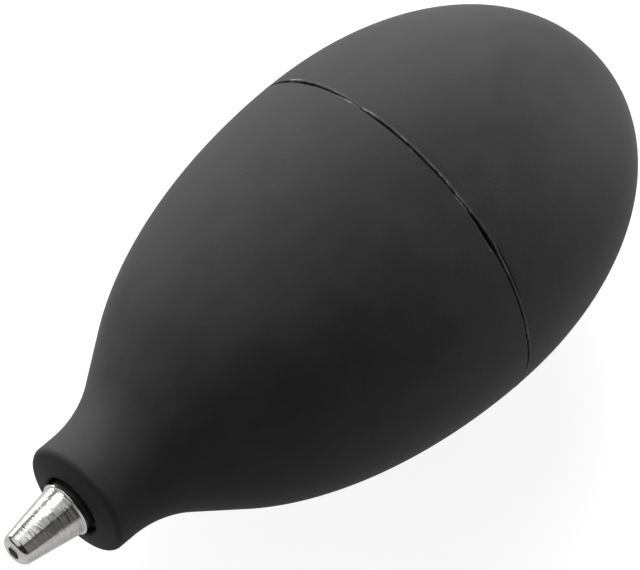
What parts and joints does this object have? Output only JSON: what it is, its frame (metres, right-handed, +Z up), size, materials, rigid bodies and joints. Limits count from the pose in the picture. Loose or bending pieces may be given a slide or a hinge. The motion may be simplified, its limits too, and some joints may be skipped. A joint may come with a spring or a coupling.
{
  "type": "dust blower bulb",
  "caption": "Hand-squeezed rubber dust blower bulb in two cemented halves, with a screwed metal nozzle in its neck and a sprung inlet valve in its rear pole.",
  "frame": {"origin": "centre of the footprint on the surface that the bulb lies on, below the middle of its length", "axes": "+X along the bulb's axis towards the nozzle, +Y to the side, +Z up"},
  "size_m": [0.1045, 0.05, 0.05],
  "materials": {
    "front_rubber": "matt soft-touch rubber",
    "rear_rubber": "matt soft-touch rubber",
    "cement": "dried rubber cement",
    "socket_plastic": "moulded nylon",
    "gasket_rubber": "nitrile rubber",
    "nozzle_metal": "turned and nickel plated, fine lathe rings",
    "valve_metal": "turned and nickel plated",
    "cap_metal": "pressed and nickel plated",
    "screen_steel": "fine stainless screen",
    "disc_rubber": "soft rubber",
    "stem_brass": "turned brass",
    "spring_steel": "drawn spring wire",
    "guide_brass": "stamped brass",
    "clip_steel": "blued spring steel"
  },
  "bodies": {
    "bulb": {"front_shell": "front_rubber", "rear_shell": "rear_rubber", "seam_cement": "cement", "nozzle_socket": "socket_plastic"},
    "inlet_valve": {"valve_body": "valve_metal", "inlet_cap": "cap_metal", "dust_screen": "screen_steel", "valve_guide": "guide_brass", "valve_circlip": "clip_steel", "valve_spring": "spring_steel"},
    "poppet": {"valve_disc": "disc_rubber", "valve_stem": "stem_brass"},
    "nozzle_seal": {"nozzle_gasket": "gasket_rubber"},
    "nozzle": {"nozzle_tip": "nozzle_metal"}
  },
  "joints": [
    {"name": "squeeze", "type": "slide", "parent": "bulb", "child": "inlet_valve", "axis": [1, 0, 0], "range_m": [0, 0.014], "stiffness_N_per_m": 1300, "deforming": ["rear_shell"]},
    {"name": "valve_open", "type": "slide", "parent": "inlet_valve", "child": "poppet", "axis": [1, 0, 0], "range_m": [0, 0.0014], "stiffness_N_per_m": 30, "springref_m": -0.002, "deforming": ["valve_spring"]},
    {"name": "nozzle_travel", "type": "slide", "parent": "bulb", "child": "nozzle_seal", "axis": [1, 0, 0], "range_m": [0, 0.0084]},
    {"name": "nozzle_turn", "type": "hinge", "parent": "nozzle_seal", "child": "nozzle", "pos_m": [0.043, 0, 0.025], "axis": [1, 0, 0], "range_deg": [0, 3780]}
  ],
  "couplings": [
    {"joint": "nozzle_turn", "follows": "nozzle_travel", "rad_per_m": 7854}
  ]
}
